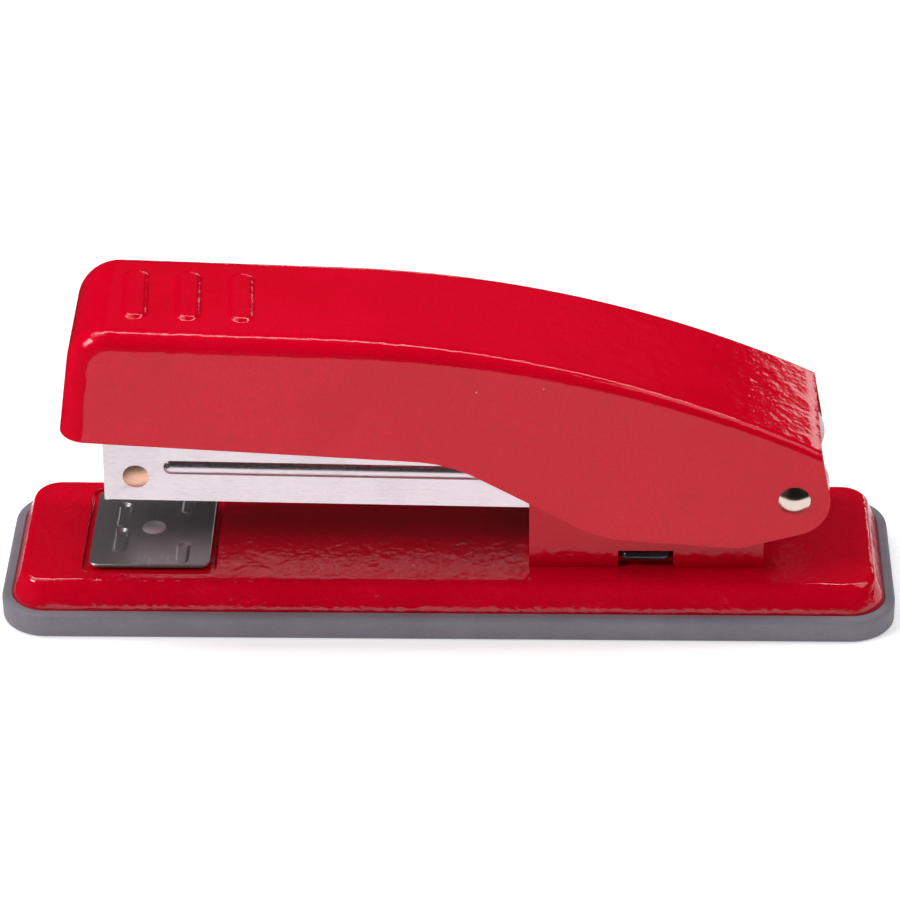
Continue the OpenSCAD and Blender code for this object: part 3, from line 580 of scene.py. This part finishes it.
def makeCover(size):
    stations = coverStations(size)
    half, steps, columns = size["half"], size["bendSteps"], size["columns"]
    slope = math.tan(math.radians(size["frontSlope"]))
    skirtX, skirtZ = size["skirt"][0]
    rearNormal = Vector(direction(size["rearLean"]))
    rearPoint = Vector(size["lobe"]) + size["lobeRadius"] * rearNormal
    points, rows = [], []
    for index, (spot, facing, bend, along) in enumerate(stations):
        out, ahead = Vector(direction(facing)), Vector(direction(facing - 90))
        bends = []
        for side in (1, -1):
            arc = []
            for k in range(steps + 1):
                c, s = direction(90 * k / steps)
                arc.append((side * (half - bend + bend * s), spot - out * bend * (1 - c)))
            bends.append(arc)
        flat = []
        for k in range(1, columns):
            across = (half - bend) * (1 - 2 * k / columns)
            lift = gripHeightAt(size, along, across) if along is not None else 0.0
            flat.append((across, spot + out * lift))
        section = bends[0][::-1] + flat + bends[1]
        row = []
        for across, place in section:
            if index == 0:  # foot of the front wall, slid on to the lower edge
                drop = skirtZ + (skirtX - place.x) * slope - place.y
                place = place + ahead * drop / (ahead.y + ahead.x * slope)
            if index == len(stations) - 1:  # rear end, slid on to the leaning rear edge
                place = place + ahead * ((rearPoint - place).dot(rearNormal) / ahead.dot(rearNormal))
            row.append(len(points))
            points.append((place.x, across, place.y))
        rows.append(row)
    faces = []
    for near, far in zip(rows, rows[1:]):
        for k in range(len(near) - 1):
            faces.append((near[k], near[k + 1], far[k + 1], far[k]))
    edge = lowerEdge(size)
    px, pz = size["pivot"]
    holeCount = 32
    for side, column in ((1, 0), (-1, -1)):
        top = [row[column] for row in rows]
        low = []
        for place in reversed(edge):
            low.append(len(points))
            points.append((place.x, side * half, place.y))
        hole = []
        for k in range(holeCount):
            c, s = direction(90 + 360 * k / holeCount)
            hole.append(len(points))
            points.append((px + size["bore"] * c, side * half, pz + size["bore"] * s))
        # each side is cut into a front and a rear face above and below the hole
        fromPin = lambda i: abs(points[i][0] - px)
        above = top.index(min(top, key=fromPin))
        below = low.index(min((i for i in low if points[i][2] < pz), key=fromPin))
        front = top[:above + 1] + hole[:holeCount // 2 + 1] + low[below:]
        rear = top[above:] + low[:below + 1] + hole[holeCount // 2:] + hole[:1]
        faces += [tuple(front), tuple(rear)]
    piece = addPiece("coverShell", points, faces, "handle", "coverEnamel", ["handle_cover"],
                     upward=True)
    sheetUp(piece, size["sheet"], 0.22, 55)
    return piece


makeCover(cover)
print("cover done")


magazineTilt = {"pivot": (51.2, 0, 21.9), "pitch": 0.9}


def fromMagazine(point):
    # a place in the magazine's own slope, put where it is at rest
    c, s = direction(magazineTilt["pitch"])
    x, y, z = point
    px, py, pz = magazineTilt["pivot"]
    return px + x * c + z * s, py + y, pz - x * s + z * c


# feet are where each head starts along the axis, heads are radius and height
turned = {
    "hingePin": {
        "node": "pivot_pin", "body": "base", "slot": "pin", "finish": "nickel",
        "at": (51.2, 0, 21.9), "axis": (0, 1, 0), "feet": (-12.05, 12.05), "head": (2.35, 0.9),
        "endHead": (2.35, 0.9), "shank": 1.5},
    "noseRivetNear": {
        "node": "nose_rivet_left", "body": "magazine", "slot": "nose_rivets", "finish": "copper",
        "at": (-97.35, 0, -0.78), "axis": (0, -1, 0), "feet": (6.45, 7.65), "head": None,
        "endHead": (1.95, 0.4), "shank": 1.0},
    "noseRivetFar": {
        "node": "nose_rivet_right", "body": "magazine", "slot": "nose_rivets", "finish": "copper",
        "at": (-97.35, 0, -0.78), "axis": (0, 1, 0), "feet": (6.45, 7.65), "head": None,
        "endHead": (1.95, 0.4), "shank": 1.0},
    "bracketRivetFront": {
        "node": "bracket_rivet_front", "body": "base", "slot": "rivets", "finish": "zinc",
        "at": (17.7, 0, 0), "axis": (0, 0, 1), "feet": (7.0, 9.2), "head": (2.5, 0.54),
        "endHead": (2.5, 0.9), "shank": 1.5},
    "bracketRivetRear": {
        "node": "bracket_rivet_rear", "body": "base", "slot": "rivets", "finish": "zinc",
        "at": (41.6, 0, 0), "axis": (0, 0, 1), "feet": (7.0, 9.8), "head": (2.5, 0.54),
        "endHead": (2.5, 0.9), "shank": 1.5},
    "anvilRivet": {
        "node": "anvil_pin", "body": "anvil", "slot": "anvil", "finish": "pinSteel",
        "at": (-44.7, 0, 0), "axis": (0, 0, 1), "feet": (1.1, 8.45), "head": (2.5, 0.5),
        "endHead": (1.8, 0.25), "shank": 1.5},
    "bladeRivetFront": {
        "node": "driver_rivet_front", "body": "handle", "slot": "rivets", "finish": "zinc",
        "at": (-91.1, 0, 0), "axis": (0, 0, 1), "feet": (19.5, 21.05), "head": (2.0, 0.42),
        "endHead": (2.0, 0.7), "shank": 1.2},
    "bladeRivetRear": {
        "node": "driver_rivet_rear", "body": "handle", "slot": "rivets", "finish": "zinc",
        "at": (-81.1, 0, 0), "axis": (0, 0, 1), "feet": (19.5, 21.05), "head": (2.0, 0.42),
        "endHead": (2.0, 0.7), "shank": 1.2},
}


def makeTurned(name, size, edge=0.07):
    low, high = size["feet"]
    shank, endRadius = size["shank"], size["endHead"][0]
    if size["head"]:
        headRadius = size["head"][0]
        profile = domeProfile(low, *size["head"], -1)
        profile += [(low + edge / 2, headRadius), (low + edge, headRadius - edge)]
    else:
        profile = [(low, 0.0), (low, shank - 0.1), (low + 0.1, shank)]
    profile += [(low + edge, shank), (high - edge, shank)]
    profile += [(high - edge, endRadius - edge), (high - edge / 2, endRadius)]
    profile += domeProfile(high, *size["endHead"], 1)[::-1]
    points, faces = lathe(profile, size["at"], size["axis"])
    if size["body"] in ("magazine", "handle"):
        points = [fromMagazine(point) for point in points]
    piece = addPiece(name, points, faces, size["body"], size["finish"], [size["node"]])
    piece.data.set_sharp_from_angle(angle=math.radians(45))
    return piece


for turnedName, turnedSize in turned.items():
    makeTurned(turnedName, turnedSize)
print("turned pieces done")


leaf = {
    "sheet": 0.6, "half": 6.65, "rear": (45.6, 9.2), "heel": (30.5, 9.2), "tip": (15.2, 16.8),
    "curl": (13.6, 16.45), "bow": 4, "crown": 1.2,
    "tabX": (26.0, 33.2), "tabZ": (9.25, 10.9), "tabY": (6.3, 9.7), "tabRound": 0.8,
}


def makeLeaf(size):
    # the bent strip, then a rolled tab through the window on each side
    line = [Vector(size["rear"])]
    line += roundCorner(size["rear"], size["heel"], size["tip"], size["bow"], 8)
    line += roundCorner(size["heel"], size["tip"], size["curl"], size["crown"], 6)
    line.append(Vector(size["curl"]))
    half = size["half"]
    loops = []
    for index, low in enumerate(line):
        ahead = (line[min(index + 1, len(line) - 1)] - line[max(index - 1, 0)]).normalized()
        top = low + Vector((ahead.y, -ahead.x)) * size["sheet"]
        corners = ((low, -half), (low, half), (top, half), (top, -half))
        loops.append([(point.x, y, point.y) for point, y in corners])
    points, faces = bridge(loops)
    faces += [(0, 1, 2, 3), tuple(len(points) - 4 + k for k in range(4))]
    (x0, x1), (z0, z1), (y0, y1), r = size["tabX"], size["tabZ"], size["tabY"], size["tabRound"]
    # how far the outline has shrunk, and how far out it is, from the strip to the rounded end of the tab
    steps = ((0, y0), (0, y1 - r), (r * 0.13, y1 - r * 0.5), (r * 0.5, y1 - r * 0.13), (r * 0.98, y1))
    for side in (-1, 1):
        rings = []
        for inset, reach in steps:
            outline = roundedLoop((x1 - x0) / 2 - inset, (z1 - z0) / 2 - inset * 0.95,
                                  max(r - inset, 0.02), 0, 0, 6)
            rings.append([((x0 + x1) / 2 + x, side * reach, (z0 + z1) / 2 + y) for x, y, _ in outline])
        more, moreFaces = bridge(rings)
        base, count = len(points), len(rings[0])
        points += more
        faces += [tuple(base + k for k in face) for face in moreFaces]
        faces += [tuple(range(base, base + count)), tuple(range(base + len(more) - count, base + len(more)))]
    piece = addPiece("liftLeaf", points, faces, "base", "bluedSpring", ["lift_spring"])
    soften(piece, 0.06, 60)
    return piece


makeLeaf(leaf)
print("lift spring done")


coils = {
    "anvilCoil": {
        "node": "anvil_spring", "axis": "z", "middle": (-44.7, 0, 2.4), "length": 3.7, "radius": 4.0,
        "wire": 0.3, "turns": 3.6, "body": "base", "gives": ("anvil_lift", 0.8)},
    "followerCoil": {
        "node": "follower_spring", "axis": "x", "middle": (-52.3, 0, -1.65), "length": 40.1, "radius": 1.7,
        "wire": 0.2, "turns": 25, "body": "magazine", "gives": ("follower_slide", 20.0)},
    "handleCoil": {
        "node": "handle_spring", "axis": "z", "middle": (33.0, 0, 25.1), "length": 8.05, "radius": 3.3,
        "wire": 0.35, "turns": 5.6, "body": "magazine"},
}


def makeCoil(name, size, perTurn=22, endTurns=0.8, endRise=0.06):
    x, y, z = size["middle"]
    turns, length, radius = size["turns"], size["length"], size["radius"]

    def place(along, c=0.0, s=0.0):
        if size["axis"] == "z":
            return x + radius * c, y + radius * s, z + along
        return fromMagazine((x + along, y + radius * c, z + radius * s))

    def clamped(value):
        return min(max(value, 0), 1)

    path = []
    count = int(turns * perTurn)
    for k in range(count + 1):
        done = turns * k / count
        # the end turns lie flat, as ground ends do
        rise = endRise * clamped(done / endTurns) + endRise * clamped((done - turns) / endTurns + 1)
        rise += (1 - 2 * endRise) * clamped((done - endTurns) / (turns - 2 * endTurns))
        path.append(place(length * rise, *direction(360 * done)))
    points, faces = tube(path, size["wire"], 10)
    piece = addPiece(name, points, faces, size["body"], "springWire", [size["node"]])
    if "gives" in size:  # a coil on a joint: where its ends sit and how much of it stays are worked out, and it gets a mesh of its own, but its turns are not moved
        joint, travel = size["gives"]
        foot, seat = Vector(place(0)), Vector(place(length + size["wire"]))
        keep = 1 - travel / (length + 2 * size["wire"])
        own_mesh(piece)
    return piece


for coilName, coilSize in coils.items():
    makeCoil(coilName, coilSize)
print("coils done")


strip = {
    "front": -100.5, "length": 40.0, "wire": 0.5, "gap": 0.03, "uneven": 0.02, "half": 6.35, "foot": -3.95,
    "point": 0.12, "top": 2.25, "bend": 0.45, "innerBend": 0.1,
}


def stapleSection(size):
    # outline of one staple seen from the front: outer line over the crown, then the inner one back
    half, top, foot, wire = size["half"], size["top"], size["foot"], size["wire"]
    lines = []
    for inset, bend, tip in ((0, size["bend"], foot), (wire, size["innerBend"], foot + size["point"])):
        left = [(inset - half, tip)]
        for k in range(4):
            c, s = direction(90 * k / 3)
            left.append((inset - half + bend - bend * c, top - inset - bend + bend * s))
        lines.append(left + [(-y, z) for y, z in reversed(left)])
    outer, inner = lines
    return outer + inner[::-1], len(outer)


def makeStrip(size):
    section, half = stapleSection(size)
    count = len(section)
    points, faces = [], []
    for index in range(int(size["length"] / size["wire"])):
        start = size["front"] + index * size["wire"] + size["gap"] / 2
        push = random.uniform(-size["uneven"], size["uneven"])
        base = len(points)
        for x in (start, start + size["wire"] - size["gap"]):
            points += [fromMagazine((x, y + push, z)) for y, z in section]
        for k in range(count):
            n = (k + 1) % count
            faces.append((base + k, base + n, base + count + n, base + count + k))
        for a in range(half - 1):  # ends of the U as quads between outer and inner line
            b, c, d = a + 1, count - 2 - a, count - 1 - a
            faces.append((base + a, base + b, base + c, base + d))
            faces.append((base + count + d, base + count + c, base + count + b, base + count + a))
    piece = addPiece("stapleStrip", points, faces, "magazine", "stapleWire", ["staple_strip"])
    piece.data.set_sharp_from_angle(angle=math.radians(35))
    return piece


makeStrip(strip)
print("staples done")


# carried-over nodes: finish, and width of their softened edges
dress = {
    "base_bracket": ("bracketEnamel", 0.3),
    "pivot_washer_left": ("zinc", 0.12), "pivot_washer_right": ("zinc", 0.12),
    "anvil_button": ("buttonSteel", 0.2),
    "magazine_channel": ("brightSteel", 0.18), "nose_plate": ("plateSteel", 0.12),
    "inner_rail": ("railSteel", 0.15), "guide_rod": ("springWire", 0.15),
    "rear_stop": ("buttonSteel", 0.15), "spring_seat": ("railSteel", 0.12),
    "follower": ("followerBlack", 0.15),
    "driver_blade": ("bladeSteel", 0.08), "driver_saddle": ("railSteel", 0.15),
    "spring_bridge": ("railSteel", 0.15),
}


def dressNode(name, finish, edge):
    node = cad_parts[name]
    for holder in node.material_slots:
        holder.material = finishes[finish]
    weld = node.modifiers.new("weld", "WELD")
    weld.merge_threshold = 0.002 * mm
    soften(node, edge, 35, 2)


for nodeName, (finishName, edgeWidth) in dress.items():
    dressNode(nodeName, finishName, edgeWidth)
print("nodes dressed:", len(dress))


studio = {
    "floorHalf": 8.0, "floorLow": 0.00005, "lineX": (-0.35, -0.071, 0.15), "lineY": (-0.112, -0.012, 0.35),
    "nearCells": ((2, 1), (2, 2)), "floorColour": (0.93, 0.93, 0.93),
    "floorGlow": (0.3, 0.3, 0.3), "farGlow": (0.95, 0.95, 0.95), "glowRange": (0.35, 1.6),
    "surround": 0.01,
    "boxes": {  # where from: azimuth from +X towards +Y, elevation, distance, width, height in metres, watts
        "overhead": (90, 79, 0.85, 1.3, 0.11, 5.0),
        "leftBox": (203, 32, 0.80, 0.27, 0.24, 3.0),
        "rightBox": (58.2, 10.5, 0.95, 0.21, 0.16, 0.31),
        "rightFill": (345, 46, 0.85, 0.5, 0.5, 1.8),
        "leftFill": (170, 62, 0.85, 0.5, 0.5, 1.4),
        "backPanel": (84, 34, 0.95, 0.6, 0.3, 0.02),
        "backSpot": (90, 9, 0.9, 0.14, 0.08, 0.12),
    },
    "target": (0.0, 0.0, 0.022),
}
view = {"elevation": 32.811, "swing": 1.601, "roll": -0.525, "lens": 166.41, "target": (0.28, 0, 22.719),
        "distance": 622.07}


def makeFloor(size):
    # one even floor in two pieces: gloss on the object picks up the near one only, as with a small lit table
    half = size["floorHalf"]
    paper = Finish("studioPaper", Specular_IOR_Level=0.0, Emission_Strength=1.0)
    tone = paper.mix(paper.noise(60, 3, 0.6), size["floorColour"], shaded(size["floorColour"], 0.985))
    away = paper.node("VectorMath", {"operation": "LENGTH"}, {0: paper.place}, 1)
    glow = paper.mix(paper.between(away, *size["glowRange"]), size["floorGlow"], size["farGlow"])
    paper.plug(paper.shader.inputs["Emission Color"], glow)
    paper.surface(tone, 0.9, paper.relief(paper.noise(2, 2, 0.5), 0.01))
    lineX, lineY = (-half, *size["lineX"], half), (-half, *size["lineY"], half)
    points = [(x, y, -size["floorLow"]) for y in lineY for x in lineX]
    row = len(lineX)
    parts = {"nearFloor": [], "farFloor": []}
    for j in range(len(lineY) - 1):
        for i in range(row - 1):
            cell = [j * row + i, j * row + i + 1, (j + 1) * row + i + 1, (j + 1) * row + i]
            parts["nearFloor" if (i, j) in size["nearCells"] else "farFloor"].append(cell)
    for name, faces in parts.items():
        mesh = bpy.data.meshes.new(name)
        mesh.from_pydata(points, [], faces)
        mesh.materials.append(paper.material)
        floor = bpy.data.objects.new(name, mesh)
        bpy.context.scene.collection.objects.link(floor)
        floor.visible_glossy = name == "nearFloor"


def aim(item, spot, target):
    item.location = spot
    item.rotation_euler = (Vector(target) - Vector(spot)).to_track_quat("-Z", "Y").to_euler()


def makeLights(size):
    for name, (azimuth, elevation, distance, width, height, power) in size["boxes"].items():
        lamp = bpy.data.lights.new(name, "AREA")
        lamp.shape, lamp.size, lamp.size_y, lamp.energy = "RECTANGLE", width, height, power
        holder = bpy.data.objects.new(name, lamp)
        bpy.context.scene.collection.objects.link(holder)
        c, s = direction(azimuth)
        flat, rise = direction(elevation)
        target = Vector(size["target"])
        aim(holder, target + distance * Vector((c * flat, s * flat, rise)), target)
    world = bpy.data.worlds.new("studio")
    bpy.context.scene.world = world
    world.use_nodes = True
    world.node_tree.nodes["Background"].inputs["Color"].default_value = (1, 1, 1, 1)
    world.node_tree.nodes["Background"].inputs["Strength"].default_value = size["surround"]


def makeCamera(size):
    flat, rise = direction(size["elevation"])
    c, s = direction(size["swing"])
    back = Vector((s * flat, -c * flat, rise))
    across = Vector((c, s, 0))
    up = back.cross(across)
    rollC, rollS = direction(size["roll"])
    right, over = rollC * across + rollS * up, rollC * up - rollS * across
    lens = bpy.data.cameras.new("studioCamera")
    lens.lens, lens.sensor_width = size["lens"], 36
    lens.clip_start, lens.clip_end = 0.01, 50
    holder = bpy.data.objects.new("studioCamera", lens)
    bpy.context.scene.collection.objects.link(holder)
    spot = (Vector(size["target"]) + size["distance"] * back) * mm
    holder.matrix_world = Matrix.Translation(spot) @ Matrix((right, over, back)).transposed().to_4x4()
    bpy.context.scene.camera = holder


makeFloor(studio)
makeLights(studio)
makeCamera(view)
bpy.context.scene.view_settings.view_transform = "Standard"
bpy.context.scene.view_settings.look = "None"
print("studio done")
